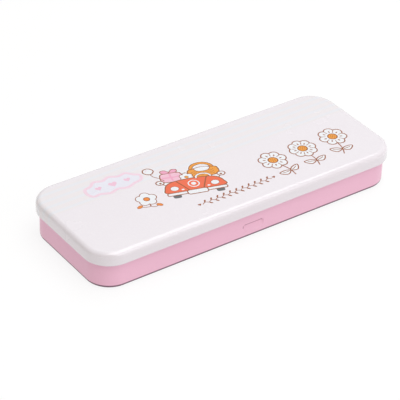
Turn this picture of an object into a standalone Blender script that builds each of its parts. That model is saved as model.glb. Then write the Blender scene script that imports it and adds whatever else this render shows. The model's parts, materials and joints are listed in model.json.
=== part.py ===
"""A flat tinplate pencil case: a pink base tray and a white lid, joined by two barrel hinges at the back.

The frame has its origin under the middle of the case, on the surface that it stands on. X runs along the
case, -Y is its front, where the thumb recess is, and +Z is up. Blender's unit is the metre.
"""

import math

import bmesh
import bpy
from mathutils import Vector

MM = 0.001

# Driving dimensions.
LENGTH = 213.0 * MM
OVERALL_DEPTH = 82.0 * MM
HEIGHT = 25.0 * MM
SHEET = 0.3 * MM
WELD_GAP = 0.1 * MM
CORNER_STEPS = 12

# Hinges: a rolled knuckle round a pin, behind the lid's rear skirt.
LEAF = 0.35 * MM
KNUCKLE_OUTER = 1.0 * MM
KNUCKLE_INNER = KNUCKLE_OUTER - LEAF
PIN_RADIUS = KNUCKLE_INNER - 0.08 * MM
PIN_HEAD_RADIUS = 0.92 * MM
PIN_HEAD = 0.45 * MM
HINGE_WIDTH = 24.0 * MM
HINGE_X = 58.0 * MM
CENTRE_KNUCKLE = 7.8 * MM
KNUCKLE_GAP = 0.2 * MM
AXIS_Y = OVERALL_DEPTH / 2 - KNUCKLE_OUTER
AXIS_Z = 15.4 * MM
ROLL_STEPS = 20
ROLL_TURN = math.radians(300.0)

# Lid: a drawn cover with a rounded shoulder and a rim folded inwards.
LID_FRONT = -OVERALL_DEPTH / 2
LID_BACK = AXIS_Y - KNUCKLE_OUTER - WELD_GAP
LID_DEPTH = LID_BACK - LID_FRONT
LID_MIDDLE = (LID_BACK + LID_FRONT) / 2
LID_CORNER = 16.5 * MM
LID_SHOULDER = 3.2 * MM
LID_RIM = 16.8 * MM
HEM_TOP = 18.9 * MM

# Base: a drawn tray inside the lid's outline, with a rolled bead round its mouth.
WALL_INSET = 1.9 * MM
BASE_LENGTH = LENGTH - 2 * WALL_INSET
BASE_DEPTH = LID_DEPTH - 2 * WALL_INSET
BASE_CORNER = 15.0 * MM
BASE_FILLET = 1.9 * MM
BEAD_RADIUS = 0.625 * MM
BEAD_INSET = -0.125 * MM
BEAD_Z = 23.05 * MM
BEAD_STEPS = 14

# Thumb catch pressed into the middle of the front wall: deepest under its top edge, and flush at its foot.
RECESS_HALF = 7.5 * MM
RECESS_TOP = 9.9 * MM
RECESS_FOOT = 4.8 * MM
RECESS_CORNER = 1.8 * MM
RECESS_DEPTH = 0.8 * MM
RECESS_SLOPE = 0.7 * MM
RECESS_X_STEPS = 22
RECESS_Z_STEPS = 6

# Divider: one bent strip that fences off the rear right-hand corner of the tray for small things.
DIVIDER_HEIGHT = 14.0 * MM
DIVIDER_X = 42.0 * MM
DIVIDER_Y = 6.0 * MM
DIVIDER_BEND = 4.0 * MM
DIVIDER_END_GAP = 1.7 * MM
FOOT_WIDTH = 10.0 * MM
FOOT_REACH = 5.0 * MM


def clear_scene():
    for obj in list(bpy.data.objects):
        bpy.data.objects.remove(obj, do_unlink=True)


def material(name, colour, roughness, metallic):
    made = bpy.data.materials.new(name)
    made.use_nodes = True
    shader = made.node_tree.nodes["Principled BSDF"]
    shader.inputs["Base Color"].default_value = (*colour, 1.0)
    shader.inputs["Roughness"].default_value = roughness
    shader.inputs["Metallic"].default_value = metallic
    made.diffuse_color = (*colour, 1.0)
    return made


def add_object(name, bm, look, parent=None):
    """Turns the bmesh into an object. With a parent empty, its origin is at that empty."""
    origin = parent.location if parent else Vector((0.0, 0.0, 0.0))
    bmesh.ops.translate(bm, verts=bm.verts, vec=-origin)
    bmesh.ops.recalc_face_normals(bm, faces=bm.faces)
    mesh = bpy.data.meshes.new(name)
    bm.to_mesh(mesh)
    bm.free()
    mesh.shade_smooth()
    mesh.set_sharp_from_angle(angle=math.radians(35.0))
    mesh.materials.append(look)
    obj = bpy.data.objects.new(name, mesh)
    bpy.context.scene.collection.objects.link(obj)
    obj.parent = parent
    return obj


def arc(centre, radius, first, last, steps):
    """Points from angle first to angle last, in degrees, round a centre in any plane."""
    points = []
    for step in range(steps + 1):
        angle = math.radians(first + (last - first) * step / steps)
        points.append((centre[0] + radius * math.cos(angle), centre[1] + radius * math.sin(angle)))
    return points


def smooth_step(value):
    value = min(max(value, 0.0), 1.0)
    return value * value * (3.0 - 2.0 * value)


# Drawn shells.


def recess_at(x, z):
    """How far the front wall is pressed in: a steep edge round the outline, and a slope up to flush below."""
    past_x = abs(x) - (RECESS_HALF - RECESS_CORNER)
    past_z = z - (RECESS_TOP - RECESS_CORNER)
    if past_x > 0.0 and past_z > 0.0:
        inside = RECESS_CORNER - math.hypot(past_x, past_z)
    else:
        inside = RECESS_CORNER - max(past_x, past_z)
    rise = min(max((z - RECESS_FOOT) / (RECESS_TOP - RECESS_FOOT), 0.0), 1.0)
    return RECESS_DEPTH * rise * smooth_step(inside / RECESS_SLOPE)


def rounded_rectangle(length, depth, corner, inset, front_cuts):
    """Anticlockwise points of the outline pulled in by inset, starting with the cuts along the front."""
    half_x = length / 2 - inset
    half_y = depth / 2 - inset
    radius = corner - inset
    points = [(x, -half_y) for x in front_cuts]
    for side_x, side_y, first in ((1, -1, -90), (1, 1, 0), (-1, 1, 90), (-1, -1, 180)):
        centre = (side_x * (half_x - radius), side_y * (half_y - radius))
        points += arc(centre, radius, first, first + 90, CORNER_STEPS)
    return points


def drawn_shell(length, depth, corner, profile, front_cuts=(), pressed=False):
    """Lofts rings of vertices along a profile of (inset, height), and caps its two ends with flat panels."""
    bm = bmesh.new()
    rings = []
    for inset, z in profile:
        ring = []
        for x, y in rounded_rectangle(length, depth, corner, inset, front_cuts):
            push = recess_at(x, z) if pressed and y < 0.0 else 0.0
            ring.append(bm.verts.new((x, y + LID_MIDDLE + push, z)))
        rings.append(ring)
    count = len(rings[0])
    for lower, upper in zip(rings, rings[1:]):
        for index in range(count):
            after = (index + 1) % count
            bm.faces.new((lower[index], lower[after], upper[after], upper[index]))
    bm.faces.new(rings[0])
    bm.faces.new(rings[-1])
    return bm


def lid_profile():
    """From the top panel over the shoulder, down the skirt, round the folded rim and back up inside."""
    shoulder = (LID_SHOULDER, HEIGHT - LID_SHOULDER)
    outer = arc(shoulder, LID_SHOULDER, 90, 180, 8)
    fold = arc((SHEET, LID_RIM + SHEET), SHEET, 180, 360, 6)
    hem = [(2 * SHEET, HEM_TOP - SHEET / 2), (1.7 * SHEET, HEM_TOP), (SHEET, HEM_TOP + SHEET / 3)]
    inner = arc(shoulder, LID_SHOULDER - SHEET, 180, 90, 8)
    return outer + fold + hem + inner


def base_profile():
    """From the floor round the bottom edge, up the wall, round the bead and back down inside."""
    bottom = (BASE_FILLET, BASE_FILLET)
    outer = arc(bottom, BASE_FILLET, 270, 180, 6)
    edge_from = RECESS_TOP - 1.15 * RECESS_SLOPE
    edge_to = RECESS_TOP + 0.15 * RECESS_SLOPE
    levels = [RECESS_FOOT, RECESS_TOP - RECESS_CORNER]
    levels += [edge_from + (edge_to - edge_from) * n / RECESS_Z_STEPS for n in range(RECESS_Z_STEPS + 1)]
    outer += [(0.0, z) for z in levels]
    leaves = math.degrees(math.asin(-BEAD_INSET / BEAD_RADIUS))
    returns = math.degrees(math.acos((SHEET - BEAD_INSET) / BEAD_RADIUS))
    bead = arc((BEAD_INSET, BEAD_Z), BEAD_RADIUS, 270 + leaves, -returns, BEAD_STEPS)
    inner = [(SHEET, z) for z in reversed(levels)]
    inner += arc(bottom, BASE_FILLET - SHEET, 180, 270, 6)
    return outer + bead + inner


def recess_cuts():
    """Places along the front edge that the recess needs, closest together on its two steep ends."""
    edge = RECESS_HALF + 0.1 * MM
    cuts = []
    for step in range(RECESS_X_STEPS + 1):
        share = 2.0 * step / RECESS_X_STEPS - 1.0
        cuts.append(edge * math.sin(math.pi / 2 * share))
    return cuts


def make_shells(lid_pivot):
    pearl = material("lid_paint", (0.86, 0.84, 0.85), 0.22, 0.0)
    pink = material("base_paint", (0.79, 0.48, 0.63), 0.38, 0.0)
    lid = drawn_shell(LENGTH, LID_DEPTH, LID_CORNER, lid_profile())
    add_object("lid_shell", lid, pearl, lid_pivot)
    base = drawn_shell(BASE_LENGTH, BASE_DEPTH, BASE_CORNER, base_profile(), recess_cuts(), pressed=True)
    add_object("base_shell", base, pink)


# Hinges.


def stamped_strip(path, cuts, present, thickness):
    """A bent sheet: path is its middle line in (y, z), cuts are places along x, and present says which
    cells of that grid are metal. Each cell has two skins, and a wall wherever its neighbour is missing."""
    bm = bmesh.new()
    sides = ([], [])
    for index, point in enumerate(path):
        here = Vector(point)
        before = (here - Vector(path[index - 1])).normalized() if index else None
        after = (Vector(path[index + 1]) - here).normalized() if index + 1 < len(path) else None
        before, after = before or after, after or before
        along = (before + after).normalized()
        reach = thickness / 2 / along.dot(before)
        normal = Vector((-along.y, along.x)) * reach
        for side, row in zip((1, -1), sides):
            y, z = here + side * normal
            row.append([bm.verts.new((x, y, z)) for x in cuts])
    front, back = sides
    for i in range(len(path) - 1):
        for j in range(len(cuts) - 1):
            if not present(i, j):
                continue
            corners = ((i, j), (i, j + 1), (i + 1, j + 1), (i + 1, j))
            bm.faces.new([front[a][b] for a, b in corners])
            bm.faces.new([back[a][b] for a, b in reversed(corners)])
            neighbours = ((i - 1, j), (i, j + 1), (i + 1, j), (i, j - 1))
            for edge, (a, b) in enumerate(neighbours):
                if 0 <= a < len(path) - 1 and 0 <= b < len(cuts) - 1 and present(a, b):
                    continue
                (p, q), (r, s) = corners[edge], corners[(edge + 1) % 4]
                bm.faces.new((front[r][s], front[p][q], back[p][q], back[r][s]))
    loose = [vert for vert in bm.verts if not vert.link_faces]
    bmesh.ops.delete(bm, geom=loose, context="VERTS")
    return bm


def rolled(first_turn):
    """The knuckle's middle line round the pin, from the tangent point on the lid's side."""
    end = 180.0 + first_turn * math.degrees(ROLL_TURN)
    return arc((AXIS_Y, AXIS_Z), KNUCKLE_OUTER - LEAF / 2, 180.0, end, ROLL_STEPS)


def hinge_cuts(x):
    """Edges of the leaf and of its centre knuckle's tab, with the gap to the outer ones."""
    half = HINGE_WIDTH / 2
    tab = CENTRE_KNUCKLE / 2
    return [x - half, x - tab - KNUCKLE_GAP, x - tab, x + tab, x + tab + KNUCKLE_GAP, x + half]


def make_lid_leaf(name, x, look, lid_pivot):
    """A plate on the outside of the rear skirt, whose two outer tabs roll down round the pin."""
    plate_y = AXIS_Y - KNUCKLE_OUTER + LEAF / 2
    path = [(plate_y, 21.6 * MM), (plate_y, AXIS_Z + 2.0 * MM)] + rolled(1)
    bm = stamped_strip(path, hinge_cuts(x), lambda i, j: i == 0 or j in (0, 4), LEAF)
    add_object(name, bm, look, lid_pivot)


def make_base_leaf(name, x, look):
    """A plate on the base's rear wall, whose middle tab steps out past the rim and rolls up round the pin."""
    plate_y = LID_BACK - WALL_INSET + WELD_GAP + LEAF / 2
    tab_y = AXIS_Y - KNUCKLE_OUTER + LEAF / 2
    path = [(plate_y, 4.6 * MM), (plate_y, 10.6 * MM), (plate_y, 11.2 * MM)]
    path += [(tab_y, 13.1 * MM)] + rolled(-1)
    bm = stamped_strip(path, hinge_cuts(x), lambda i, j: i == 0 or j == 2, LEAF)
    add_object(name, bm, look)


def make_pin(name, x, look):
    """A steel pin with a small domed head at each end."""
    half = HINGE_WIDTH / 2 + WELD_GAP
    dome = [(half + PIN_HEAD, 0.45), (half + 0.8 * PIN_HEAD, 0.82), (half + 0.4 * PIN_HEAD, 1.0), (half, 1.0)]
    right = [(along, share * PIN_HEAD_RADIUS) for along, share in dome] + [(half, PIN_RADIUS)]
    profile = right + [(-along, radius) for along, radius in reversed(right)]
    bm = bmesh.new()
    rings = []
    for along, radius in profile:
        circle = arc((AXIS_Y, AXIS_Z), radius, 0, 345, 23)
        rings.append([bm.verts.new((x + along, y, z)) for y, z in circle])
    for first, second in zip(rings, rings[1:]):
        for index in range(24):
            after = (index + 1) % 24
            bm.faces.new((first[index], first[after], second[after], second[index]))
    bm.faces.new(rings[0])
    bm.faces.new(rings[-1])
    add_object(name, bm, look)


def make_hinges(lid_pivot):
    tin = material("hinge_steel", (0.72, 0.72, 0.71), 0.32, 1.0)
    steel = material("pin_steel", (0.62, 0.62, 0.63), 0.28, 1.0)
    for side, x in (("left", -HINGE_X), ("right", HINGE_X)):
        make_lid_leaf("lid_hinge_leaf_" + side, x, tin, lid_pivot)
        make_base_leaf("base_hinge_leaf_" + side, x, tin)
        make_pin("hinge_pin_" + side, x, steel)


# Divider.


def divider_strip(z_from, z_to):
    """The standing L-shaped wall: from the right-hand end along the case, then round to the rear wall."""
    end_x = BASE_LENGTH / 2 - SHEET - DIVIDER_END_GAP
    end_y = LID_MIDDLE + BASE_DEPTH / 2 - SHEET - DIVIDER_END_GAP
    bend = arc((DIVIDER_X + DIVIDER_BEND, DIVIDER_Y + DIVIDER_BEND), DIVIDER_BEND, 270, 180, 8)
    path = [(end_x, DIVIDER_Y)] + bend + [(DIVIDER_X, end_y)]
    bm = stamped_strip(path, [z_from, z_to], lambda i, j: True, SHEET)
    for vert in bm.verts:
        z, x, y = vert.co
        vert.co = (x, y, z)
    return bm


def foot(bm, x, y, size_x, size_y, z):
    made = bmesh.ops.create_cube(bm, size=1.0)["verts"]
    bmesh.ops.scale(bm, verts=made, vec=(size_x, size_y, SHEET))
    bmesh.ops.translate(bm, verts=made, vec=(x, y, z + SHEET / 2))


def make_divider():
    """The wall stands on three feet, which are spot-welded to the tray's floor."""
    floor_z = SHEET + WELD_GAP
    tin = material("divider_tin", (0.74, 0.73, 0.70), 0.30, 1.0)
    wall = add_object("compartment_divider", divider_strip(floor_z + SHEET / 4, DIVIDER_HEIGHT), tin)
    bm = bmesh.new()
    for x in (62.0 * MM, 88.0 * MM):
        foot(bm, x, DIVIDER_Y + FOOT_REACH / 2, FOOT_WIDTH, FOOT_REACH, floor_z)
    foot(bm, DIVIDER_X + FOOT_REACH / 2, 24.0 * MM, FOOT_REACH, FOOT_WIDTH, floor_z)
    feet = add_object("divider_feet_guide", bm, tin)
    feet.hide_render = True
    feet.display_type = "WIRE"
    join = wall.modifiers.new("join_feet", "BOOLEAN")
    join.operation = "UNION"
    join.object = feet


def main():
    clear_scene()
    lid_pivot = bpy.data.objects.new("lid_pivot", None)
    lid_pivot.location = (0.0, AXIS_Y, AXIS_Z)
    bpy.context.scene.collection.objects.link(lid_pivot)
    make_shells(lid_pivot)
    make_hinges(lid_pivot)
    make_divider()


main()
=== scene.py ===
"""The looks of a flat hinged tin pencil case: enamelled shells, printed lid, tinplate hinges and divider.

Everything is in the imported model's own frame: X along the case, -Y its front, +Z up, in metres. The
printed artwork is drawn in millimetres on the lid's top panel, measured from the panel's middle.
"""

import json
import math
from collections import namedtuple

import bmesh
import bpy
from mathutils import Matrix, Vector
from mathutils.geometry import delaunay_2d_cdt


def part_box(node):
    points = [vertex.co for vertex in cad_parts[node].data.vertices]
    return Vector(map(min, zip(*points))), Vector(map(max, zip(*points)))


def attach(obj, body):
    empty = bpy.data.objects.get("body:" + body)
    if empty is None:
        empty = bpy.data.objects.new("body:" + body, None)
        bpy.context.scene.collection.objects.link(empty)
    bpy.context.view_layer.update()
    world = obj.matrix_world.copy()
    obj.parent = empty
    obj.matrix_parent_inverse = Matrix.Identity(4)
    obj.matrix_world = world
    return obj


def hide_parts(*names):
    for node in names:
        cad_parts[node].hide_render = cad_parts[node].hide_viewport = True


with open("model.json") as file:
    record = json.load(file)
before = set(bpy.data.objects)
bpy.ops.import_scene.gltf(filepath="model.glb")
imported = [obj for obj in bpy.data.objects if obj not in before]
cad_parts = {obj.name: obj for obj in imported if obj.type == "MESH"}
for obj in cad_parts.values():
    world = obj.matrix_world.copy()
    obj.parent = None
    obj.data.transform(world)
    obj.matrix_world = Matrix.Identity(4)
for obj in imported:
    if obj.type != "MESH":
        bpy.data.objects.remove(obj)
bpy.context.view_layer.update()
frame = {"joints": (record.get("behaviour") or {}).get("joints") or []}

MM = 0.001
LID_LOW, LID_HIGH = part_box("lid_shell")
HINGE = frame["joints"][0]
AXIS_Y, AXIS_Z = HINGE["pos_m"][1:]

# Shells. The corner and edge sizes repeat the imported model's.
SHEET = 0.3 * MM
WELD_GAP = 0.1 * MM
LID_CORNER = 16.5 * MM
LID_SHOULDER = 3.2 * MM
HEM_TOP = LID_LOW.z + 2.1 * MM
INK_FILM = 0.02 * MM
PANEL_Z = LID_HIGH.z - INK_FILM
WALL_INSET = 1.9 * MM
BASE_CORNER = 15.0 * MM
BASE_FILLET = 1.9 * MM
BEAD_RADIUS = 0.625 * MM
BEAD_INSET = -0.125 * MM
BEAD_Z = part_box("base_shell")[1].z - BEAD_RADIUS
CORNER_STEPS = 28

# Thumb catch in the front wall.
RECESS_HALF = 7.5 * MM
RECESS_TOP = 9.9 * MM
RECESS_FOOT = 4.8 * MM
RECESS_CORNER = 1.8 * MM
RECESS_DEPTH = 0.8 * MM
RECESS_SLOPE = 0.4 * MM

# Hinges. The base's leaf bends out from its wall by LEAF_SLOPE degrees and back, to reach the pin behind
# the lid's skirt. Its plate below that bend, and the lid leaf's plate above its neck, are welded on.
LEAF = 0.35 * MM
KNUCKLE_OUTER = 1.0 * MM
PIN_RADIUS = KNUCKLE_OUTER - LEAF - 0.08 * MM
PIN_HEAD_RADIUS = 0.92 * MM
HINGE_HALF = 12.0 * MM
CENTRE_KNUCKLE_HALF = 3.9 * MM
KNUCKLE_GAP = 0.2 * MM
LEAF_CORNER = 1.2 * MM
LEAF_PLATE_ROWS = 6
LEAF_NECK = 2.0 * MM
LEAF_FOOT_PLATE = 6.0 * MM
LEAF_BEND = 0.8 * MM
LEAF_SLOPE = 45.0
ROLL_TURN = 300.0
ROLL_STEPS = 50

# Spot welds: how far apart, how far from a leaf's free edge, and a crater's half section, in millimetres.
WELD_PITCH = 4.2 * MM
LID_WELD_DROP = 1.6 * MM
BASE_WELD_RISE = 3.0 * MM
WELD_DISH = (
    (-0.02, 1.05), (0.0, 1.05), (0.045, 0.95), (0.06, 0.82), (0.045, 0.68), (0.012, 0.52), (0.004, 0.2),
)
WELD_STEPS = 32

# Divider. FOOT_PLACES are the X of the two feet on its long wall, and the Y of the one on its short wall.
# The walls' lower edge is DIVIDER_LIFT above the feet's underside, and the hem folds over FOLD_GAP.
DIVIDER_BEND = 4.0 * MM
DIVIDER_BEND_STEPS = 12
DIVIDER_HEM = 2.4 * MM
DIVIDER_LIFT = 0.05 * MM
FOLD_GAP = 0.03 * MM
FOOT_HALF = 5.0 * MM
FOOT_REACH = 5.0 * MM
FOOT_BEND = 0.6 * MM
FOOT_PLACES = (62.0 * MM, 88.0 * MM, 24.0 * MM)
FOOT_WELD_REACH = 2.9 * MM
FOOT_WELD_HALF = 2.4 * MM

# How far stamped edges are rounded, and the angle past which an edge counts as sharp, in degrees.
EDGE_ROUND = 0.05 * MM
SHARP_EDGE = 50.0

Outline = namedtuple("Outline", "half_x half_y middle_y corner")
LID_OUTLINE = Outline(
    (LID_HIGH.x - LID_LOW.x) / 2, (LID_HIGH.y - LID_LOW.y) / 2, (LID_HIGH.y + LID_LOW.y) / 2, LID_CORNER
)
BASE_OUTLINE = LID_OUTLINE._replace(
    half_x=LID_OUTLINE.half_x - WALL_INSET, half_y=LID_OUTLINE.half_y - WALL_INSET, corner=BASE_CORNER
)

# Camera, at the product shot's angle: a long lens, from the front left and above.
CAMERA_AZIMUTH = -36.202
CAMERA_ELEVATION = 34.457
CAMERA_ROLL = 1.899
CAMERA_DISTANCE = 1142.125 * MM
CAMERA_ASIDE = -8.804 * MM
CAMERA_RISE = -8.121 * MM
CAMERA_LENS = 174.012

# Stage. The studio is brightest overhead and to the rear right, and dark to the front left. Its tone goes
# from the walls' to the ceiling's as the cosine of the angle from the bright side goes from LOW to HIGH.
FLOOR_REACH = 3.0
FLOOR_DROP = 0.02 * MM
FLOOR_GLOW = 0.86
WALLS = (0.36, 0.28, 0.23, 1.0)
CEILING = (0.69, 0.70, 0.69, 1.0)
BRIGHT_SIDE = (0.22, 0.32, 0.92)
BRIGHT_LOW = 0.05
BRIGHT_HIGH = 0.75
BACKDROP = (1.0, 1.0, 1.0, 1.0)

# Softboxes, all aimed at the case: name, place, width and height in metres, watts and colour.
SOFTBOXES = (
    ("overhead", (0.25, -0.25, 1.35), 1.8, 0.8, 11.5, (1.0, 1.0, 1.0)),
    ("rear_strip", (0.54, 0.81, 1.06), 0.5, 0.10, 0.56, (1.0, 1.0, 1.0)),
    ("front", (0.34, -1.20, 0.74), 1.1, 0.65, 4.6, (0.91, 0.94, 1.0)),
)

# Colours, as linear values. Round the base's bottom edge, a plum line of painted shade reaches a set height
# up the base.
PEARL = (0.768, 0.729, 0.772)
PEARL_FLAKE = (0.797, 0.768, 0.806)
BAND_BLUE = (0.735, 0.745, 0.795)
BAND_PINK = (0.768, 0.730, 0.755)
PINK = (0.852, 0.50, 0.645)
# Painted shade: a darker pink in the thumb catch's upper crease.
RECESS_SHADE_PINK = (0.30, 0.11, 0.18, 1.0)
# Painted shade: the plum line round the base's bottom edge where it meets the floor, and how far up it
# reaches.
BOTTOM_EDGE_SHADE = (0.15, 0.075, 0.11, 1.0)
BOTTOM_SHADE_HEIGHT = 2.05 * MM
TIN = (0.72, 0.71, 0.68)
STEEL = (0.58, 0.58, 0.59)

# Bands on the lid, from its middle line.
BAND_PITCH = 6.0 * MM
BAND_FIRST = 13.5 * MM
BAND_LAST = 31.5 * MM

# Sockets of a Mix node that mixes colours.
MIX_SHARE = 0
MIX_FIRST = 6
MIX_SECOND = 7
MIX_RESULT = 2


# Camera and stage.


def make_camera():
    azimuth, elevation, roll = (math.radians(a) for a in (CAMERA_AZIMUTH, CAMERA_ELEVATION, CAMERA_ROLL))
    flat = math.cos(elevation)
    back = Vector((math.sin(azimuth) * flat, -math.cos(azimuth) * flat, math.sin(elevation)))
    right = Vector((0.0, 0.0, 1.0)).cross(back).normalized()
    up = back.cross(right)
    target = Vector((0.0, LID_OUTLINE.middle_y, LID_HIGH.z / 2))
    place = target + CAMERA_DISTANCE * back + CAMERA_ASIDE * right + CAMERA_RISE * up
    turned_right = math.cos(roll) * right + math.sin(roll) * up
    turned_up = math.cos(roll) * up - math.sin(roll) * right
    camera = bpy.data.objects.new("camera", bpy.data.cameras.new("camera"))
    camera.data.lens = CAMERA_LENS
    camera.data.clip_start = 0.05
    camera.data.clip_end = 20.0
    facing = Matrix((turned_right, turned_up, back)).transposed().to_4x4()
    camera.matrix_world = Matrix.Translation(place) @ facing
    bpy.context.scene.collection.objects.link(camera)
    bpy.context.scene.camera = camera


def softbox(name, place, width, height, watts, colour):
    lamp = bpy.data.lights.new(name, "AREA")
    lamp.shape = "RECTANGLE"
    lamp.size = width
    lamp.size_y = height
    lamp.energy = watts
    lamp.color = colour
    obj = bpy.data.objects.new(name, lamp)
    obj.location = place
    obj.rotation_mode = "QUATERNION"
    obj.rotation_quaternion = (-Vector(place)).to_track_quat("-Z", "Y")
    bpy.context.scene.collection.objects.link(obj)


def make_stage():
    bm = bmesh.new()
    bmesh.ops.create_grid(bm, x_segments=1, y_segments=1, size=FLOOR_REACH)
    floor = finish_mesh("floor", bm, [floor_material()])
    floor.location.z = -FLOOR_DROP
    make_world()
    bpy.context.scene.view_settings.view_transform = "Standard"
    for light in SOFTBOXES:
        softbox(*light)


def make_world():
    """A studio that shades from its bright side to dark walls. The camera sees a plain white backdrop."""
    world = bpy.data.worlds.new("studio")
    world.use_nodes = True
    tree = world.node_tree
    direction = tree.nodes.new("ShaderNodeTexCoord")
    facing = tree.nodes.new("ShaderNodeVectorMath")
    facing.operation = "DOT_PRODUCT"
    facing.inputs[1].default_value = Vector(BRIGHT_SIDE).normalized()
    share = tree.nodes.new("ShaderNodeMapRange")
    share.interpolation_type = "SMOOTHSTEP"
    share.inputs["From Min"].default_value = BRIGHT_LOW
    share.inputs["From Max"].default_value = BRIGHT_HIGH
    room = tree.nodes.new("ShaderNodeMix")
    room.data_type = "RGBA"
    room.inputs[MIX_FIRST].default_value = WALLS
    room.inputs[MIX_SECOND].default_value = CEILING
    seen = tree.nodes.new("ShaderNodeMix")
    seen.data_type = "RGBA"
    seen.inputs[MIX_SECOND].default_value = BACKDROP
    ray = tree.nodes.new("ShaderNodeLightPath")
    tree.links.new(direction.outputs["Generated"], facing.inputs[0])
    tree.links.new(facing.outputs["Value"], share.inputs["Value"])
    tree.links.new(share.outputs["Result"], room.inputs[MIX_SHARE])
    tree.links.new(room.outputs[MIX_RESULT], seen.inputs[MIX_FIRST])
    tree.links.new(ray.outputs["Is Camera Ray"], seen.inputs[MIX_SHARE])
    tree.links.new(seen.outputs[MIX_RESULT], tree.nodes["Background"].inputs["Color"])
    bpy.context.scene.world = world


# Materials. Each returns a material whose colour, roughness and relief come from nodes.


class Look:
    """A material under construction: its node tree, its Principled shader and the object's coordinates."""

    def __init__(self, name):
        self.material = bpy.data.materials.new(name)
        self.material.use_nodes = True
        self.tree = self.material.node_tree
        self.shader = self.tree.nodes["Principled BSDF"]
        self.place = self.tree.nodes.new("ShaderNodeTexCoord").outputs["Object"]

    def node(self, kind, settings=(), **links):
        made = self.tree.nodes.new("ShaderNode" + kind)
        for name, value in settings:
            setattr(made, name, value)
        for name, value in links.items():
            self.connect(made.inputs[name.replace("_", " ")], value)
        return made

    def connect(self, socket, value):
        if isinstance(value, bpy.types.NodeSocket):
            self.tree.links.new(value, socket)
        else:
            socket.default_value = value

    def fixed(self, **values):
        for name, value in values.items():
            self.shader.inputs[name.replace("_", " ")].default_value = value

    def noise(self, scale, detail=3.0, stretch=(1.0, 1.0, 1.0)):
        """Noise from 0 to 1, whose features are about 1/scale metres wide before the stretch."""
        mapped = self.node("Mapping", Vector=self.place, Scale=stretch)
        return self.node("TexNoise", Vector=mapped.outputs[0], Scale=scale, Detail=detail).outputs["Fac"]

    def math(self, operation, first, second=0.0):
        made = self.node("Math", [("operation", operation)])
        self.connect(made.inputs[0], first)
        self.connect(made.inputs[1], second)
        return made.outputs[0]

    def ramp(self, value, low, high, to_low=0.0, to_high=1.0):
        """A smooth step from to_low, where the value is at low, to to_high, where it is at high."""
        made = self.node("MapRange", [("interpolation_type", "SMOOTHSTEP")], Value=value)
        for socket, number in zip(made.inputs[1:5], (low, high, to_low, to_high)):
            self.connect(socket, number)
        return made.outputs[0]

    def mix(self, share, first, second):
        made = self.node("Mix", [("data_type", "RGBA")])
        self.connect(made.inputs[MIX_SHARE], share)
        self.connect(made.inputs[MIX_FIRST], first)
        self.connect(made.inputs[MIX_SECOND], second)
        return made.outputs[MIX_RESULT]

    def relief(self, layers):
        """Chains bumps of (height, strength, depth in metres) into the shader's normal."""
        normal = None
        for height, strength, depth in layers:
            bump = self.node("Bump", Height=height, Strength=strength, Distance=depth)
            if normal:
                self.tree.links.new(normal, bump.inputs["Normal"])
            normal = bump.outputs[0]
        self.tree.links.new(normal, self.shader.inputs["Normal"])

    def set(self, name, value):
        self.tree.links.new(value, self.shader.inputs[name])


def shade(colour, factor):
    """A colour made lighter or darker, with the alpha that a socket needs."""
    return (*(min(channel * factor, 1.0) for channel in colour), 1.0)


def floor_material():
    look = Look("pale_floor")
    cloud = look.noise(1.5)
    look.set("Base Color", look.mix(cloud, (0.12, 0.12, 0.12, 1.0), (0.13, 0.13, 0.13, 1.0)))
    look.fixed(Roughness=0.9, Specular_IOR_Level=0.1)
    look.fixed(Emission_Color=(1.0, 1.0, 1.0, 1.0), Emission_Strength=FLOOR_GLOW)
    return look.material


def enamel_finish(look, colour, roughness, coat, peel=0.12, specular=0.5):
    """Baked enamel on tinplate: faint clouding, fine orange peel, and a varnish over it."""
    cloud = look.noise(22.0, 2.0)
    grain = look.noise(900.0, 2.0)
    look.set("Base Color", colour(cloud, grain))
    patches = look.noise(55.0, 4.0)
    look.set("Roughness", look.ramp(patches, 0.3, 0.7, roughness - 0.035, roughness + 0.035))
    look.relief([(look.noise(14.0, 1.0), 0.25, 0.12 * MM), (look.noise(650.0, 2.0), peel, 0.02 * MM)])
    look.fixed(Coat_Weight=coat, Coat_Roughness=0.09, Coat_IOR=1.5, Specular_IOR_Level=specular)


def plain_enamel(name, colour, roughness=0.32, coat=0.4):
    look = Look(name)

    def tint(cloud, grain):
        clouded = look.mix(cloud, shade(colour, 0.975), shade(colour, 1.025))
        return look.mix(look.ramp(grain, 0.35, 0.75, 0.0, 0.35), clouded, shade(colour, 0.965))

    enamel_finish(look, tint, roughness, coat)
    return look.material


def base_enamel():
    """Pink, with a thin plum line of painted shade round the bottom edge, where the tray meets the floor,
    and painted shade in the thumb catch's crease.
    """
    look = Look("base_pink_enamel")
    z = look.node("SeparateXYZ", Vector=look.place).outputs["Z"]
    # The plum line is painted shade along the bottom edge, from just above the underside up to a slightly
    # ragged height.
    uneven = look.math("ADD", z, look.math("MULTIPLY", look.noise(90.0), 0.15 * MM))
    above = look.ramp(z, 0.02 * MM, 0.12 * MM)
    below = look.ramp(uneven, 0.85 * BOTTOM_SHADE_HEIGHT, 1.15 * BOTTOM_SHADE_HEIGHT, 1.0, 0.0)
    bottom_shade = look.math("MULTIPLY", above, below)
    # Painted shade in the thumb catch's upper crease and along its left side.
    recess_shade = recess_painted_shade(look)

    def tint(cloud, grain):
        clouded = look.mix(cloud, shade(PINK, 0.98), shade(PINK, 1.02))
        pink = look.mix(look.ramp(grain, 0.35, 0.75, 0.0, 0.35), clouded, shade(PINK, 0.965))
        return look.mix(bottom_shade, look.mix(recess_shade, pink, RECESS_SHADE_PINK), BOTTOM_EDGE_SHADE)

    enamel_finish(look, tint, 0.4, 0.05, specular=0.3)
    return look.material


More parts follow.
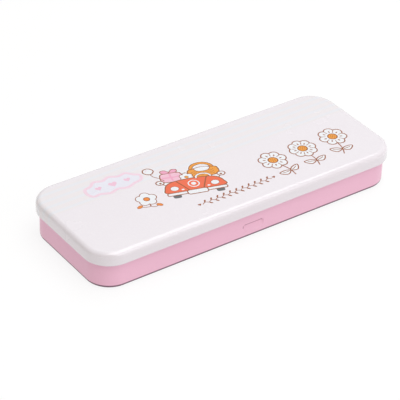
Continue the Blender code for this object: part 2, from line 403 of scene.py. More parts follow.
def recess_painted_shade(look):
    """Painted shade inside the upper edge and left side of the thumb catch, from 0 to 1, left off the lit
    right side.
    """
    x, y, z = look.node("SeparateXYZ", Vector=look.place).outputs
    past_x = look.math("SUBTRACT", look.math("ABSOLUTE", x), RECESS_HALF - RECESS_CORNER)
    past_z = look.math("SUBTRACT", z, RECESS_TOP - RECESS_CORNER)
    out_x = look.math("MAXIMUM", past_x, 0.0)
    out_z = look.math("MAXIMUM", past_z, 0.0)
    squares = look.math("ADD", look.math("MULTIPLY", out_x, out_x), look.math("MULTIPLY", out_z, out_z))
    beyond = look.math("SQRT", squares)
    within = look.math("MINIMUM", look.math("MAXIMUM", past_x, past_z), 0.0)
    inside = look.math("SUBTRACT", RECESS_CORNER, look.math("ADD", beyond, within))
    begins = look.ramp(inside, 0.0, 0.15 * MM)
    thins_out = look.ramp(inside, 0.6 * MM, 1.1 * MM, 1.0, 0.0)
    band = look.math("MULTIPLY", begins, thins_out)
    upper = look.ramp(z, RECESS_TOP - 3.4 * MM, RECESS_TOP - 1.6 * MM)
    front_wall = look.ramp(y, -1.0 * MM, 0.0, 1.0, 0.0)
    upper_front = look.math("MULTIPLY", upper, front_wall)
    # The right side of the catch is lit, so it gets no painted shade.
    off_right_side = look.ramp(x, RECESS_HALF - 1.5 * MM, RECESS_HALF - 0.5 * MM, 1.0, 0.0)
    return look.math("MULTIPLY", look.math("MULTIPLY", band, upper_front), off_right_side)


def lid_enamel():
    """Pearl white, with four soft pale blue bands along the rear third that fade in from the white."""
    look = Look("lid_pearl_enamel")
    y = look.node("SeparateXYZ", Vector=look.place).outputs["Y"]
    from_middle = look.math("SUBTRACT", y, LID_OUTLINE.middle_y)
    turns = look.math("MULTIPLY", look.math("SUBTRACT", from_middle, BAND_FIRST), math.tau / BAND_PITCH)
    wave = look.ramp(look.math("COSINE", turns), -0.2, 0.9, 0.0, 0.85)
    front = look.ramp(from_middle, BAND_FIRST - 0.5 * BAND_PITCH, BAND_FIRST - 0.4 * BAND_PITCH)
    rear = look.ramp(from_middle, BAND_LAST + 0.4 * BAND_PITCH, BAND_LAST + 0.5 * BAND_PITCH, 1.0, 0.0)
    inside = look.math("MULTIPLY", front, rear)

    def tint(cloud, grain):
        white = look.mix(cloud, shade(PEARL, 0.99), shade(PEARL, 1.01))
        white = look.mix(look.ramp(grain, 0.4, 0.8, 0.0, 0.5), white, shade(PEARL_FLAKE, 1.0))
        banded = look.mix(wave, (*BAND_PINK, 1.0), (*BAND_BLUE, 1.0))
        return look.mix(inside, white, banded)

    enamel_finish(look, tint, 0.24, 0.7, peel=0.08)
    return look.material


def tinplate(name, colour, roughness=0.34, along=(0.02, 1.0, 1.0)):
    """Bare lacquered tinplate: rolling grain drawn out along one axis, with cloudy lacquer over it."""
    look = Look(name)
    grain = look.noise(2600.0, 3.0, along)
    cloud = look.noise(60.0, 3.0)
    tone = look.mix(grain, shade(colour, 0.86), shade(colour, 1.06))
    look.set("Base Color", look.mix(look.ramp(cloud, 0.35, 0.7, 0.0, 0.3), tone, shade(colour, 0.9)))
    look.set("Roughness", look.ramp(grain, 0.25, 0.75, roughness - 0.07, roughness + 0.08))
    look.relief([(grain, 0.10, 0.03 * MM)])
    look.fixed(Metallic=1.0, Coat_Weight=0.15, Coat_Roughness=0.2)
    return look.material


def heat_tinted_tin():
    """Tinplate at a spot weld: dull, and straw-coloured in patches where the heat reached it."""
    look = Look("heat_tinted_tin")
    cloud = look.noise(700.0)
    look.set("Base Color", look.mix(cloud, (0.34, 0.27, 0.19, 1.0), (0.60, 0.57, 0.52, 1.0)))
    look.set("Roughness", look.ramp(cloud, 0.3, 0.7, 0.34, 0.50))
    look.relief([(look.noise(2500.0, 2.0), 0.2, 0.02 * MM)])
    look.fixed(Metallic=1.0)
    return look.material


# Mesh helpers.


def finish_mesh(name, bm, looks, sharp=38.0):
    bmesh.ops.recalc_face_normals(bm, faces=bm.faces)
    mesh = bpy.data.meshes.new(name)
    bm.to_mesh(mesh)
    bm.free()
    mesh.shade_smooth()
    mesh.set_sharp_from_angle(angle=math.radians(sharp))
    for look in looks:
        mesh.materials.append(look)
    obj = bpy.data.objects.new(name, mesh)
    bpy.context.scene.collection.objects.link(obj)
    return obj


def arc(centre, radius, first, last, steps):
    points = []
    for step in range(steps + 1):
        angle = math.radians(first + (last - first) * step / steps)
        points.append((centre[0] + radius * math.cos(angle), centre[1] + radius * math.sin(angle)))
    return points


def smooth_step(value):
    value = min(max(value, 0.0), 1.0)
    return value * value * (3.0 - 2.0 * value)


# Shells.


def recess_at(x, z):
    """How far the front wall is pressed in: most under the thumb catch's top edge, flush at its foot."""
    past_x = abs(x) - (RECESS_HALF - RECESS_CORNER)
    past_z = z - (RECESS_TOP - RECESS_CORNER)
    if past_x > 0.0 and past_z > 0.0:
        inside = RECESS_CORNER - math.hypot(past_x, past_z)
    else:
        inside = RECESS_CORNER - max(past_x, past_z)
    rise = min(max((z - RECESS_FOOT) / (RECESS_TOP - RECESS_FOOT), 0.0), 1.0)
    return RECESS_DEPTH * rise * smooth_step(inside / RECESS_SLOPE)


def outline_points(outline, inset, front_cuts):
    """A rounded rectangle about the outline's own middle, with extra points along its front side."""
    half_x, half_y, radius = outline.half_x - inset, outline.half_y - inset, outline.corner - inset
    points = [(x, -half_y) for x in front_cuts]
    for side_x, side_y, first in ((1, -1, -90), (1, 1, 0), (-1, 1, 90), (-1, -1, 180)):
        centre = (side_x * (half_x - radius), side_y * (half_y - radius))
        points += arc(centre, radius, first, first + 90, CORNER_STEPS)
    return points


def shell(name, outline, profile, looks, front_cuts=(), pressed=False):
    """Lofts rings along a profile of (inset, height, look from here on), with a flat panel at each end."""
    bm = bmesh.new()
    rings = []
    for inset, z, _ in profile:
        ring = []
        for x, y in outline_points(outline, inset, front_cuts):
            push = recess_at(x, z) if pressed and y < 0.0 else 0.0
            ring.append(bm.verts.new((x, y + outline.middle_y + push, z)))
        rings.append(ring)
    count = len(rings[0])
    for (_, _, look), lower, upper in zip(profile, rings, rings[1:]):
        for index in range(count):
            after = (index + 1) % count
            face = bm.faces.new((lower[index], lower[after], upper[after], upper[index]))
            face.material_index = look
    bm.faces.new(rings[0]).material_index = profile[0][2]
    bm.faces.new(rings[-1]).material_index = profile[-1][2]
    return finish_mesh(name, bm, looks)


def with_look(points, look):
    return [(inset, z, look) for inset, z in points]


def make_lid(white, tin):
    """Painted outside and round the folded hem, bare tinplate inside."""
    shoulder = (LID_SHOULDER, PANEL_Z - LID_SHOULDER)
    panel = [(LID_SHOULDER + 2.0 * MM, PANEL_Z), (LID_SHOULDER + 0.3 * MM, PANEL_Z)]
    outer = arc(shoulder, LID_SHOULDER, 90, 180, 16)
    fold = arc((SHEET, LID_LOW.z + SHEET), SHEET, 180, 360, 10)
    hem = [(2 * SHEET, HEM_TOP - SHEET / 2), (1.7 * SHEET, HEM_TOP)]
    step = [(SHEET, HEM_TOP + SHEET / 3)]
    inner = arc(shoulder, LID_SHOULDER - SHEET, 180, 90, 12)
    under = [(LID_SHOULDER + 0.3 * MM, PANEL_Z - SHEET), (LID_SHOULDER + 2.0 * MM, PANEL_Z - SHEET)]
    profile = with_look(panel + outer + fold + hem, 0) + with_look(step + inner + under, 1)
    lid = shell("lid", LID_OUTLINE, profile, [white, tin])
    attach(lid, "lid")
    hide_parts("lid_shell")


def make_base(pink, tin):
    """Painted outside, and bare tinplate inside and on the bead, where the sheet's inner face rolls out."""
    bottom = (BASE_FILLET, BASE_FILLET)
    under = [(BASE_FILLET + 2.0 * MM, 0.0), (BASE_FILLET + 0.3 * MM, 0.0)]
    outer = arc(bottom, BASE_FILLET, 270, 180, 14)
    corner = RECESS_TOP - RECESS_CORNER
    levels = [RECESS_FOOT + (corner - RECESS_FOOT) * n / 6 for n in range(6)]
    levels += [corner + (RECESS_CORNER + 0.1 * MM) * n / 19 for n in range(20)]
    outer += [(0.0, z) for z in levels]
    leaves = math.degrees(math.asin(-BEAD_INSET / BEAD_RADIUS))
    returns = math.degrees(math.acos((SHEET - BEAD_INSET) / BEAD_RADIUS))
    bead = arc((BEAD_INSET, BEAD_Z), BEAD_RADIUS, 270 + leaves, -returns, 22)
    inner = [(SHEET, z) for z in reversed(levels)]
    inner += arc(bottom, BASE_FILLET - SHEET, 180, 270, 12)
    floor = [(BASE_FILLET + 0.3 * MM, SHEET), (BASE_FILLET + 2.0 * MM, SHEET)]
    profile = with_look(under + outer, 0) + with_look(bead + inner + floor, 1)
    reach = RECESS_HALF + 0.1 * MM
    cuts = [reach * math.sin(math.pi / 2 * (n / 24 - 1.0)) for n in range(49)]
    base = shell("base", BASE_OUTLINE, profile, [pink, tin], cuts, pressed=True)
    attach(base, "base")
    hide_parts("base_shell")


# Printed artwork, in millimetres from the middle of the lid. A pen paints flat shapes on a sheet, and a
# shape painted later covers an earlier one. Each ink then becomes one piece, made of thin closed plates.


# Widths of the drawn lines.
LINE = 0.7
THIN = 0.48

# How delaunay_2d_cdt is run: it keeps the triangles inside a shape, and joins points closer than this.
INSIDE_SHAPES = 1
JOIN_WITHIN = 1e-4


class Pen:
    """Paints on a sheet from a place of its own there, which moves and turns what it draws."""

    def __init__(self, sheet, x=0.0, y=0.0, turn=0.0):
        self.sheet, self.x, self.y, self.turn = sheet, x, y, turn

    def placed(self, points):
        cos, sin = math.cos(math.radians(self.turn)), math.sin(math.radians(self.turn))
        return [(self.x + cos * u - sin * v, self.y + sin * u + cos * v) for u, v in points]

    def at(self, x, y, turn=0.0):
        x, y = self.placed([(x, y)])[0]
        return Pen(self.sheet, x, y, self.turn + turn)

    def fill(self, ink, outline, hole=()):
        self.sheet.append((ink, self.placed(outline), self.placed(hole)))

    def loop(self, ink, points, width):
        """A closed line of even width round a ring of points."""
        left, right = line_edges([points[-1]] + list(points) + [points[0]], width)
        rings = sorted((left[1:-1], right[1:-1]), key=lambda ring: abs(area(ring)))
        self.fill(ink, rings[1], rings[0])

    def outlined(self, ink, points, line="brown", width=LINE):
        self.fill(ink, points)
        self.loop(line, points, width)

    def stroke(self, ink, points, width):
        """A line of even width with round ends along an open run of points."""
        left, right = line_edges(points, width)
        ahead = math.degrees(math.atan2(points[-1][1] - points[-2][1], points[-1][0] - points[-2][0]))
        behind = math.degrees(math.atan2(points[0][1] - points[1][1], points[0][0] - points[1][0]))
        end = arc(points[-1], width / 2, ahead + 90, ahead - 90, 6)
        start = arc(points[0], width / 2, behind + 90, behind - 90, 6)
        self.fill(ink, left[1:-1] + end + right[-2:0:-1] + start)


def area(ring):
    """Twice the signed area inside a ring, which is positive where the ring runs anticlockwise."""
    return sum(a[0] * b[1] - b[0] * a[1] for a, b in zip(ring, ring[1:] + ring[:1]))


def line_edges(points, width):
    """The two edges of a line: each point moved half the width across the line's direction there."""
    left, right = [], []
    for index, (x, y) in enumerate(points):
        before = points[max(index - 1, 0)]
        after = points[min(index + 1, len(points) - 1)]
        along = Vector((after[0] - before[0], after[1] - before[1])).normalized()
        across = Vector((-along.y, along.x)) * width / 2
        left.append((x + across.x, y + across.y))
        right.append((x - across.x, y - across.y))
    return left, right


def inked_regions(sheet):
    """Cuts the overlapping shapes into triangles, and gives each one to the ink painted last over it."""
    points, faces, roles = [], [], []
    for order, (_, *rings) in enumerate(sheet):
        for is_hole, ring in enumerate(rings):
            if not ring:
                continue
            faces.append(list(range(len(points), len(points) + len(ring))))
            points += [Vector(point) for point in (ring if area(ring) > 0.0 else ring[::-1])]
            roles.append((order, bool(is_hole)))
    cut = delaunay_2d_cdt(points, [], faces, INSIDE_SHAPES, JOIN_WITHIN, True)
    corners, _, triangles, _, _, sources = cut
    regions = {}
    for triangle, source in zip(triangles, sources):
        painted = {roles[n][0] for n in source if not roles[n][1]}
        painted -= {roles[n][0] for n in source if roles[n][1]}
        if painted:
            regions.setdefault(sheet[max(painted)][0], []).append(triangle)
    return corners, regions


def ink_film(name, corners, triangles, look):
    """Closed plates over one ink's triangles, standing a film's thickness proud of the lid's panel."""
    bm = bmesh.new()
    used = sorted({index for triangle in triangles for index in triangle})
    skins = []
    for z in (PANEL_Z + INK_FILM, PANEL_Z - INK_FILM):
        skins.append({
            n: bm.verts.new((corners[n].x * MM, corners[n].y * MM + LID_OUTLINE.middle_y, z)) for n in used
        })
    top, under = skins
    edges = {(a, b) for triangle in triangles for a, b in zip(triangle, triangle[1:] + triangle[:1])}
    for triangle in triangles:
        bm.faces.new([top[n] for n in triangle])
        bm.faces.new([under[n] for n in reversed(triangle)])
    for a, b in edges:
        if (b, a) not in edges:
            bm.faces.new((top[b], top[a], under[a], under[b]))
    film = finish_mesh(name, bm, [look])
    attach(film, "lid")


def curve(points, closed=False, steps=8):
    """A smooth line through a few points (a Catmull-Rom spline)."""
    count = len(points)
    spans = count if closed else count - 1
    made = []
    for span in range(spans):
        if closed:
            a, b, c, d = (Vector(points[(span + n) % count]) for n in (-1, 0, 1, 2))
        else:
            a, b, c, d = (Vector(points[min(max(span + n, 0), count - 1)]) for n in (-1, 0, 1, 2))
        for step in range(steps):
            t = step / steps
            square = (2 * a - 5 * b + 4 * c - d) * t * t
            cube = (3 * b - a - 3 * c + d) * t ** 3
            made.append(tuple((2 * b + (c - a) * t + square + cube) / 2))
    if not closed:
        made.append(tuple(points[-1]))
    return made


def oval(x, y, half_x, half_y=None, steps=32):
    half_y = half_y or half_x
    turns = [math.tau * step / steps for step in range(steps)]
    return [(x + half_x * math.cos(turn), y + half_y * math.sin(turn)) for turn in turns]


def hoop(x, y, half_x, half_y, steps=28):
    """The upper half of an oval."""
    turns = [math.pi * step / steps for step in range(steps + 1)]
    return [(x + half_x * math.cos(turn), y + half_y * math.sin(turn)) for turn in turns]


def bar(x, y, length, height):
    """A rectangle with round corners, from its middle."""
    radius = min(length, height) * 0.35
    points = []
    for side_x, side_y, first in ((1, -1, -90), (1, 1, 0), (-1, 1, 90), (-1, -1, 180)):
        centre = (x + side_x * (length / 2 - radius), y + side_y * (height / 2 - radius))
        points += arc(centre, radius, first, first + 90, 5)
    return points


def heart(x, y, size):
    points = []
    for step in range(40):
        t = math.tau * step / 40
        across = 16.0 * math.sin(t) ** 3
        rise = 13.0 * math.cos(t) - 5.0 * math.cos(2 * t) - 2.0 * math.cos(3 * t) - math.cos(4 * t)
        points.append((x + size * across / 16.0, y + size * rise / 16.0))
    return points


def scallops(count, reach, radius, steps=12):
    """A ring of petals: round arcs centred at this reach, each meeting the next in a notch."""
    turn = math.pi / count
    notch = reach * math.cos(turn) + math.sqrt(radius ** 2 - (reach * math.sin(turn)) ** 2)
    spread = math.degrees(math.atan2(notch * math.sin(turn), notch * math.cos(turn) - reach))
    points = []
    for index in range(count):
        ahead = 90.0 + index * 360.0 / count
        centre = (reach * math.cos(math.radians(ahead)), reach * math.sin(math.radians(ahead)))
        points += arc(centre, radius, ahead - spread, ahead + spread, steps)[:-1]
    return points


def bloom(pen, count, reach, radius, line):
    """A white ring of petals with an even outline."""
    pen.fill("brown", scallops(count, reach, radius + line / 2))
    pen.fill("white", scallops(count, reach, radius - line / 2))


def flower(pen, count):
    """An outlined daisy: notched petals, a seeded middle, a stem and two veined leaves."""
    for side in (-1, 1):
        leaf = [(0.3 * side, -14.6), (3.0 * side, -12.4), (7.4 * side, -12.6), (4.2 * side, -16.4)]
        pen.outlined("white", curve(leaf, True))
        pen.stroke("brown", curve([(1.2 * side, -14.5), (3.4 * side, -14.1), (5.4 * side, -13.4)]), THIN)
    pen.stroke("brown", curve([(0.0, -7.0), (0.5, -12.0), (0.0, -16.0), (-0.9, -19.2)]), LINE)
    bloom(pen, count, 5.7, 3.15, LINE)
    for index in range(count):
        petal = pen.at(0.0, 0.0, 90.0 + index * 360.0 / count)
        petal.fill("brown", oval(5.2, 0.0, 0.95, 0.42))
        notch = pen.at(0.0, 0.0, 90.0 + (index + 0.5) * 360.0 / count)
        notch.stroke("brown", [(4.4, 0.0), (5.4, 0.0), (6.6, 0.0)], THIN)
    pen.outlined("ochre", oval(0.0, 0.0, 2.9))
    for index in range(6):
        pen.at(0.0, 0.0, index * 60.0).fill("brown", oval(1.45, 0.0, 0.34, steps=12))
    pen.fill("brown", oval(0.0, 0.0, 0.34, steps=12))


def small_flower(pen):
    """A little white flower with an orange middle and two orange buds on curled stems."""
    for x, y, turn in ((-6.2, -6.4, 28.0), (5.4, -7.4, -34.0)):
        stem = [(0.2, -5.0), (0.1, -7.4), (0.45 * x, y - 1.2), (0.9 * x, y - 0.2)]
        pen.stroke("brown", curve(stem), THIN)
        pen.at(x, y, turn).outlined("orange", oval(0.0, 0.0, 1.9, 1.15), width=0.3)
    bloom(pen, 5, 3.5, 2.95, 0.5)
    pen.outlined("orange", oval(0.0, 0.0, 1.8), width=THIN)


def plaque(pen):
    """A pale cloud-shaped plaque with a soft pink rim and three hearts in place of lettering."""
    cloud = [
        (-18.0, -2.0), (-17.0, 2.6), (-12.6, 4.2), (-9.0, 7.0), (-3.6, 5.8), (1.0, 7.6), (6.6, 5.6),
        (11.8, 6.4), (15.2, 3.0), (18.4, 0.4), (16.6, -3.8), (11.4, -5.2), (6.0, -7.0), (0.2, -5.6),
        (-5.4, -7.2), (-11.2, -5.4), (-15.8, -5.8),
    ]
    pen.outlined("pale blue", curve(cloud, True), "pale pink", 2.0)
    for x, size in ((-9.5, 2.1), (0.0, 2.7), (9.5, 2.1)):
        pen.fill("faded rose", heart(x, 0.0, size))


def garland(pen, length):
    """A waving sprig with a leaf on each side of it in turn, and a small heart at each end."""
    count = 22
    pitch = length / count
    wave = [(-length / 2 + pitch * n, 0.5 if n % 2 else -0.5) for n in range(count + 1)]
    pen.stroke("brown", curve(wave), THIN)
    for index, (x, y) in enumerate(wave[1:-1]):
        side = -1 if index % 2 else 1
        pen.at(x + 0.5, y + 1.2 * side, 50.0 * side).fill("brown", oval(0.0, 0.0, 1.2, 0.55, steps=20))
    for x in (-length / 2 - 1.9, length / 2 + 1.9):
        pen.fill("brown", heart(x, 0.1, 1.1))


def toy_car(pen):
    """A toy car seen from the front, with a picnic basket, a parcel, a flower and a balloon. Its badge is
    two plain rings, and its number plate is blank."""
    body = curve([
        (-17.4, -4.0), (-17.9, 0.5), (-15.6, 4.6), (-10.5, 6.9), (0.0, 7.7), (10.5, 6.9), (15.6, 4.6),
        (17.9, 0.5), (17.4, -4.0), (0.0, -4.6),
    ], True)
    seat = curve([(-6.0, 7.0), (-5.0, 12.5), (3.0, 14.4), (9.0, 13.0), (10.0, 7.0)], True)
    pen.outlined("white", body, "white", 2.4)
    pen.outlined("white", seat, "white", 2.4)
    pen.outlined("coral", seat)
    basket(pen)
    parcel(pen)
    posy = pen.at(-1.9, 9.4)
    bloom(posy, 6, 2.55, 1.75, THIN)
    posy.outlined("ochre", oval(0.0, 0.0, 1.15), width=0.3)
    for side in (-1, 1):
        pen.fill("grey", bar(13.2 * side, -8.0, 5.0, 3.8))
    pen.outlined("coral", body)
    for side in (-1, 1):
        pen.stroke("brown", curve([(9.4 * side, 7.0), (7.2 * side, 2.4), (4.6 * side, -3.4)]), LINE)
        pen.outlined("white", oval(12.4 * side, -0.2, 2.5, 2.2), width=0.3)
        pen.fill("white", oval(7.9 * side, -2.2, 0.9, 0.75))
        pen.stroke("brown", [(17.9 * side, 6.0), (17.0 * side, 5.1), (16.2 * side, 4.2)], LINE)
        pen.outlined("white", oval(18.8 * side, 7.6, 2.4, 2.0))
        pen.fill("brown", oval(18.6 * side, 7.2, 0.8, 0.7))
    pen.loop("white", oval(0.0, 2.0, 3.2), 0.7)
    pen.fill("white", oval(0.0, 2.0, 1.5))
    pen.stroke("brown", hoop(7.6, 7.2, 4.4, 3.4), 1.6)
    pen.stroke("white", hoop(7.6, 7.2, 4.4, 3.4), 1.0)
    pen.outlined("white", bar(0.0, -5.6, 36.4, 2.6))
    pen.outlined("white", bar(0.0, -6.0, 12.4, 4.2))
    balloon(pen)


def basket(pen):
    """An ochre picnic basket with a hooped handle, woven rows and a folded cloth over its rim."""
    tub = curve([
        (1.8, 8.0), (0.4, 14.8), (4.6, 16.4), (9.6, 16.8), (14.8, 16.4), (18.6, 14.6), (16.6, 8.0),
    ], True)
    handle = hoop(9.4, 15.6, 6.6, 5.6)
    pen.outlined("white", tub, "white", 2.4)
    pen.stroke("white", handle, 3.9)
    pen.stroke("brown", handle, 2.5)
    pen.stroke("ochre", handle, 1.5)
    pen.outlined("ochre", tub)
    for y in (13.0, 11.2, 9.4):
        weave = [(2.2 + 1.5 * n, y + (0.35 if n % 2 else -0.35)) for n in range(10)]
        pen.stroke("brown", curve(weave), 0.28)
    cloth = [(5.0, 16.4), (6.0, 13.6), (9.5, 12.8), (13.0, 13.6), (14.2, 16.2), (9.6, 17.3)]
    pen.outlined("white", curve(cloth, True), width=THIN)


def parcel(pen):
    """A pink parcel tied with a rose ribbon and a bow."""
    box = curve([
        (-16.2, 7.6), (-17.0, 13.6), (-14.6, 16.2), (-6.2, 16.0), (-3.8, 13.4), (-5.0, 7.4),
    ], True)
    pen.outlined("white", box, "white", 2.4)
    pen.outlined("pink", box)
    pen.stroke("rose", curve([(-10.5, 15.8), (-10.7, 12.0), (-10.5, 8.4)]), 1.2)
    pen.stroke("rose", curve([(-15.8, 11.9), (-10.5, 11.5), (-5.0, 11.7)]), 1.2)
    for side in (-1, 1):
        bow = [(0.0, 0.0), (2.2 * side, 3.0), (5.0 * side, 2.4), (4.0 * side, -0.2)]
        pen.at(-10.4, 16.4).outlined("rose", curve(bow, True), width=THIN)


def balloon(pen):
    pen.stroke("brown", curve([(-15.6, 9.4), (-18.2, 12.8), (-20.6, 15.2), (-21.4, 17.6)]), THIN)
    skin = curve([(-21.4, 17.8), (-24.9, 20.0), (-24.3, 23.2), (-20.9, 23.9), (-18.6, 21.0)], True)
    pen.outlined("white", skin)
    pen.stroke("pale pink", curve([(-23.4, 21.2), (-22.9, 22.3), (-21.8, 22.7)]), 0.5)


# Ink colours, as linear values.
INKS = {
    "pale pink": (0.80, 0.60, 0.70),
    "pale blue": (0.73, 0.73, 0.81),
    "faded rose": (0.79, 0.50, 0.63),
    "rose": (0.78, 0.345, 0.50),
    "pink": (0.80, 0.48, 0.595),
    "white": (0.77, 0.79, 0.825),
    "orange": (0.76, 0.21, 0.012),
    "ochre": (0.77, 0.30, 0.02),
    "coral": (0.77, 0.12, 0.04),
    "brown": (0.28, 0.07, 0.008),
    "grey": (0.096, 0.10, 0.105),
}


def make_print():
    sheet = []
    lid = Pen(sheet)
    plaque(lid.at(-59.4, 19.6, -3.0))
    small_flower(lid.at(-51.6, -3.8, -14.0))
    toy_car(lid.at(-20.1, -7.0, -16.0))
    garland(lid.at(-2.8, -25.0), 49.0)
    flower(lid.at(34.0, -10.4, 10.0), 7)
    flower(lid.at(56.6, -9.8, -3.0), 8)
    flower(lid.at(80.0, -9.0, -14.0), 7)
    corners, regions = inked_regions(sheet)
    for ink, colour in INKS.items():
        name = "print_" + ink.replace(" ", "_")
        ink_film(name, corners, regions[ink], plain_enamel(name, colour, 0.3, 0.3))


# Hinges and divider, each bent from one sheet.


def bent(start, heading, *moves):
    """The middle line of a bent sheet: points with their left-hand normals, from straight runs of
    (length, steps) and bends of (radius, turn, steps), where a positive turn is to the left."""
    here, facing = Vector(start), math.radians(heading)
    line = [(here.copy(), Vector((-math.sin(facing), math.cos(facing))))]
    for *size, steps in moves:
        for _ in range(steps):
            if len(size) == 2:
                radius, turn = size[0], math.radians(size[1] / steps)
                chord = 2 * radius * math.sin(abs(turn) / 2)
            else:
                turn, chord = 0.0, size[0] / steps
            here += chord * Vector((math.cos(facing + turn / 2), math.sin(facing + turn / 2)))
            facing += turn
            line.append((here.copy(), Vector((-math.sin(facing), math.cos(facing)))))
    return line


def bent_sheet(bm, rows, thickness, present=lambda i, j: True):
    """Thickens a grid of (point, normal): two skins over each present cell, and walls along open edges."""
    front, back = (
        [[bm.verts.new(point + side * thickness / 2 * normal) for point, normal in row] for row in rows]
        for side in (1, -1)
    )
    last_i, last_j = len(rows) - 1, len(rows[0]) - 1
    for i in range(last_i):
        for j in range(last_j):
            if not present(i, j):
                continue
            corners = ((i, j), (i, j + 1), (i + 1, j + 1), (i + 1, j))
            bm.faces.new([front[a][b] for a, b in corners])
            bm.faces.new([back[a][b] for a, b in reversed(corners)])
            for edge, (a, b) in enumerate(((i - 1, j), (i, j + 1), (i + 1, j), (i, j - 1))):
                if 0 <= a < last_i and 0 <= b < last_j and present(a, b):
                    continue
                (p, q), (r, t) = corners[edge], corners[(edge + 1) % 4]
                bm.faces.new((front[r][t], front[p][q], back[p][q], back[r][t]))
    bmesh.ops.delete(bm, geom=[vert for vert in bm.verts if not vert.link_faces], context="VERTS")


def soften(bm):
    """Rounds every sharp edge of a sheet, as stamping and tumbling leave it."""
    bm.normal_update()
    limit = math.radians(SHARP_EDGE)
    sharp = [edge for edge in bm.edges if edge.is_manifold and edge.calc_face_angle() > limit]
    bmesh.ops.bevel(
        bm, geom=sharp, offset=EDGE_ROUND, segments=2, profile=0.6, affect="EDGES", clamp_overlap=True
    )


def leaf_cuts(x):
    """Places across a hinge leaf: close together at its rounded ends, and at the gaps between knuckles."""
    ends = [HINGE_HALF - LEAF_CORNER * (1.0 - math.cos(math.pi / 2 * n / 4)) for n in range(5)]
    half = ends + [CENTRE_KNUCKLE_HALF + KNUCKLE_GAP, CENTRE_KNUCKLE_HALF]
    return [x - across for across in half] + [x + across for across in reversed(half)]


def hinge_leaf(name, node, body, x, line, rolls_middle, look):
    """A plate with rounded corners, and tabs that roll round the pin: the middle one, or the two outer."""
    cuts = leaf_cuts(x)
    middle = (len(cuts) - 2) // 2
    rows = []
    for index, (point, normal) in enumerate(line):
        row = []
        for cut in cuts:
            past = max(abs(cut - x) - (HINGE_HALF - LEAF_CORNER), 0.0)
            drop = LEAF_CORNER - math.sqrt(LEAF_CORNER ** 2 - past ** 2)
            share = max(1.0 - index / LEAF_PLATE_ROWS, 0.0)
            inward = math.copysign(drop * share, line[1][0].y - line[0][0].y)
            row.append((Vector((cut, point.x, point.y + inward)), Vector((0.0, normal.x, normal.y))))
        rows.append(row)

    def present(i, j):
        if i < LEAF_PLATE_ROWS:
            return True
        return j == middle if rolls_middle else abs(j - middle) > 1

    bm = bmesh.new()
    bent_sheet(bm, rows, LEAF, present)
    soften(bm)
    leaf = finish_mesh(name, bm, [look])
    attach(leaf, body)
    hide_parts(node)


def turned(bm, place, axis, profile, steps=40):
    """A closed lathed shape along an axis, from (distance along, radius) pairs."""
    axis = Vector(axis)
    across = axis.orthogonal().normalized()
    other = axis.cross(across)
    turns = [math.tau * n / steps for n in range(steps)]
    spokes = [math.cos(turn) * across + math.sin(turn) * other for turn in turns]
    rings = []
    for along, radius in profile:
        centre = Vector(place) + along * axis
        rings.append([bm.verts.new(centre + radius * spoke) for spoke in spokes])
    for first, second in zip(rings, rings[1:]):
        for n in range(steps):
            after = (n + 1) % steps
            bm.faces.new((first[n], first[after], second[after], second[n]))
    bm.faces.new(rings[0])
    bm.faces.new(rings[-1])


def hinge_pin(name, node, x, look):
    """A steel pin, with a domed head peened over at each end."""
    low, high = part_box(node)
    half = (high.x - low.x) / 2
    seat = HINGE_HALF + WELD_GAP
    end = [(half, 0.12 * PIN_HEAD_RADIUS)]
    for turn in (math.pi / 2 * n / 6 for n in range(7)):
        fall = (half - seat) * (1.0 - math.cos(turn)) * 0.8
        end.append((half - fall, PIN_HEAD_RADIUS * (0.3 + 0.7 * math.sin(turn))))
    end += [(seat + 0.03 * MM, PIN_HEAD_RADIUS), (seat, 0.95 * PIN_HEAD_RADIUS), (seat, PIN_RADIUS)]
    profile = end + [(-along, radius) for along, radius in reversed(end)]
    bm = bmesh.new()
    turned(bm, (x, AXIS_Y, AXIS_Z), (1.0, 0.0, 0.0), profile)
    pin = finish_mesh(name, bm, [look])
    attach(pin, "base")
    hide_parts(node)


def weld_marks(name, body, places, axis, look):
    """Spot-weld craters: a shallow dish inside a low raised ring."""
    bm = bmesh.new()
    for place in places:
        turned(bm, place, axis, [(along * MM, radius * MM) for along, radius in WELD_DISH], WELD_STEPS)
    marks = finish_mesh(name, bm, [look])
    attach(marks, body)


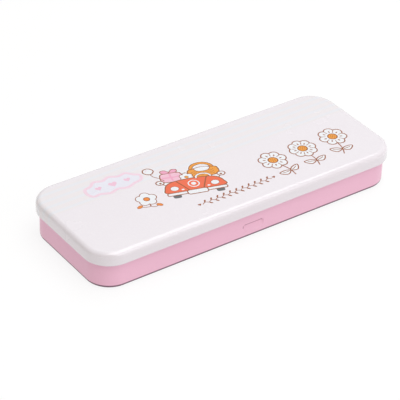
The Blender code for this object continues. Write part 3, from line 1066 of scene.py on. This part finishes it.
def make_hinges(tin, steel, burnt):
    roll = KNUCKLE_OUTER - LEAF / 2
    tab_y = AXIS_Y - roll
    wall_y = LID_HIGH.y - WALL_INSET
    plate_y = wall_y + WELD_GAP + LEAF / 2
    slope = math.radians(LEAF_SLOPE)
    slant = (tab_y - plate_y - 2 * LEAF_BEND * (1.0 - math.cos(slope))) / math.sin(slope)
    for side in ("left", "right"):
        low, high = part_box("lid_hinge_leaf_" + side)
        x = (low.x + high.x) / 2
        down = bent(
            (tab_y, high.z), -90.0,
            (high.z - AXIS_Z - LEAF_NECK, LEAF_PLATE_ROWS), (LEAF_NECK, 2), (roll, ROLL_TURN, ROLL_STEPS),
        )
        hinge_leaf("lid_leaf_" + side, "lid_hinge_leaf_" + side, "lid", x, down, False, tin)
        foot_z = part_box("base_hinge_leaf_" + side)[0].z
        risen = foot_z + LEAF_FOOT_PLATE + 2 * LEAF_BEND * math.sin(slope) + slant * math.cos(slope)
        up = bent(
            (plate_y, foot_z), 90.0,
            (LEAF_FOOT_PLATE, LEAF_PLATE_ROWS), (LEAF_BEND, -LEAF_SLOPE, 6), (slant, 2),
            (LEAF_BEND, LEAF_SLOPE, 6), (AXIS_Z - risen, 3), (roll, -ROLL_TURN, ROLL_STEPS),
        )
        hinge_leaf("base_leaf_" + side, "base_hinge_leaf_" + side, "base", x, up, True, tin)
        hinge_pin("pin_" + side, "hinge_pin_" + side, x, steel)
        lid_z, base_z = high.z - LID_WELD_DROP, foot_z + BASE_WELD_RISE
        for name, body, slot, y, z, out in (
            ("lid_welds_", "lid", "hinge_steel", tab_y + LEAF / 2, lid_z, 1.0),
            ("base_welds_", "base", "hinge_steel", plate_y + LEAF / 2, base_z, 1.0),
            ("lid_inner_welds_", "lid", "lid_paint", LID_HIGH.y - SHEET, lid_z, -1.0),
            ("base_inner_welds_", "base", "base_paint", wall_y - SHEET, base_z, -1.0),
        ):
            places = [(x + n * WELD_PITCH, y, z) for n in (-2, -1, 1, 2)]
            weld_marks(name + side, body, places, (0.0, out, 0.0), burnt)


def make_divider(tin, burnt):
    """An L-shaped wall with a hem folded along its top, on three feet bent out from its lower edge."""
    low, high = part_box("compartment_divider")
    west, south = low.x + SHEET / 2, low.y + SHEET / 2
    foot_z = low.z + SHEET / 2
    wall_foot = foot_z + FOOT_BEND
    first, second, third = FOOT_PLACES
    runs = [
        (high.x - second - FOOT_HALF, 1), (2 * FOOT_HALF, 1),
        (second - first - 2 * FOOT_HALF, 1), (2 * FOOT_HALF, 1),
        (first - FOOT_HALF - west - DIVIDER_BEND, 1), (DIVIDER_BEND, -90.0, DIVIDER_BEND_STEPS),
        (third - FOOT_HALF - south - DIVIDER_BEND, 1), (2 * FOOT_HALF, 1),
        (high.y - third - FOOT_HALF, 1),
    ]
    plan = bent((high.x, south), 180.0, *runs)
    # The cells of the plan over a foot: there the wall's lowest row is left out, and the foot bends out.
    above_feet = (1, 3, 6 + DIVIDER_BEND_STEPS)
    edge_z = low.z + DIVIDER_LIFT
    fold = SHEET / 2 + FOLD_GAP
    section = bent(
        (0.0, edge_z), 90.0, (wall_foot - edge_z, 1),
        (high.z - wall_foot - fold - SHEET / 2, 1), (fold, 180.0, 10), (DIVIDER_HEM, 1),
    )
    rows = []
    for (aside, z), (lean, rise) in section:
        rows.append([
            (Vector((*(point + aside * normal), z)), Vector((*(lean * normal), rise)))
            for point, normal in plan
        ])
    bm = bmesh.new()
    bent_sheet(bm, rows, SHEET, lambda i, j: i > 0 or j not in above_feet)
    foot = bent((0.0, wall_foot), -90.0, (FOOT_BEND, 90.0, 8), (FOOT_REACH - FOOT_BEND, 1))
    marks = []
    for x, y, out in ((first, south, (0, 1, 0)), (second, south, (0, 1, 0)), (west, third, (1, 0, 0))):
        out, along = Vector(out), Vector(out).yxz
        rows = []
        for (reach, z), (lean, rise) in foot:
            middle = Vector((x, y, z)) + reach * out
            normal = lean * out + rise * Vector((0.0, 0.0, 1.0))
            rows.append([(middle + side * FOOT_HALF * along, normal) for side in (-1, 1)])
        bent_sheet(bm, rows, SHEET)
        weld = Vector((x, y, foot_z + SHEET / 2)) + FOOT_WELD_REACH * out
        marks += [weld + side * FOOT_WELD_HALF * along for side in (-1, 1)]
    soften(bm)
    divider = finish_mesh("divider", bm, [tin])
    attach(divider, "base")
    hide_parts("compartment_divider")
    weld_marks("divider_welds", "base", marks, (0.0, 0.0, 1.0), burnt)


make_camera()
make_stage()
tin_inside = tinplate("tinplate_inside", TIN)
make_lid(lid_enamel(), tin_inside)
make_base(base_enamel(), tin_inside)
make_print()
hinge_tin = tinplate("hinge_tinplate", TIN)
burnt = heat_tinted_tin()
make_hinges(hinge_tin, tinplate("pin_steel_look", STEEL, 0.3, (1.0, 0.04, 0.04)), burnt)
make_divider(tinplate("divider_tinplate", TIN, along=(0.02, 0.02, 1.0)), burnt)
